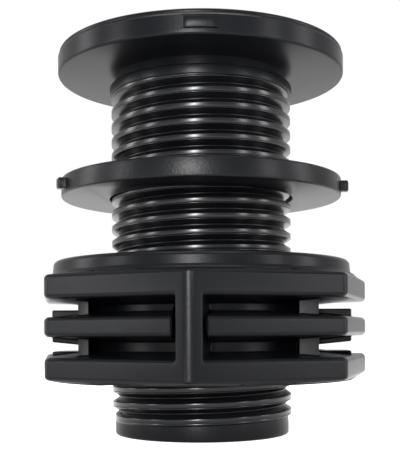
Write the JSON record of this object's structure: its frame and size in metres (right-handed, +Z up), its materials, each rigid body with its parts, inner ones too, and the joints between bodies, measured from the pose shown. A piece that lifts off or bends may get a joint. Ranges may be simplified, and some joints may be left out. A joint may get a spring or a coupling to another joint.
{
  "type": "tank outlet fitting",
  "caption": "bulkhead fitting for a tank wall: a flanged threaded tube with a loose flat gasket and a wide slotted polygonal nut with a round shoulder",
  "frame": {"origin": "centre of the lower pipe socket's mouth, at the plain end that the fitting stands on", "axes": "+Z up along the tube's axis towards the flange, which is also the longest extent; -Y faces the viewer of the picture; +X is the viewer's right"},
  "size_m": [0.1472, 0.1457, 0.166],
  "materials": {
    "fitting_body": "satin moulded black polypropylene",
    "gasket": "matte black rubber",
    "nut": "satin moulded black polypropylene"
  },
  "bodies": {
    "fitting_body": {"fitting_body": "fitting_body"},
    "gasket": {"gasket": "gasket"},
    "nut": {"nut": "nut"}
  },
  "joints": [
    {"name": "gasket_slide", "type": "slide", "parent": "fitting_body", "child": "gasket", "axis": [0, 0, 1], "range_m": [-0.0247, 0.0449]},
    {"name": "nut_turn", "type": "hinge", "parent": "gasket", "child": "nut", "pos_m": [0, 0, 0.05], "axis": [0, 0, 1], "range_deg": [-1395, 2540]}
  ],
  "couplings": [
    {"joint": "gasket_slide", "follows": "nut_turn", "m_per_rad": 0.0010106}
  ]
}
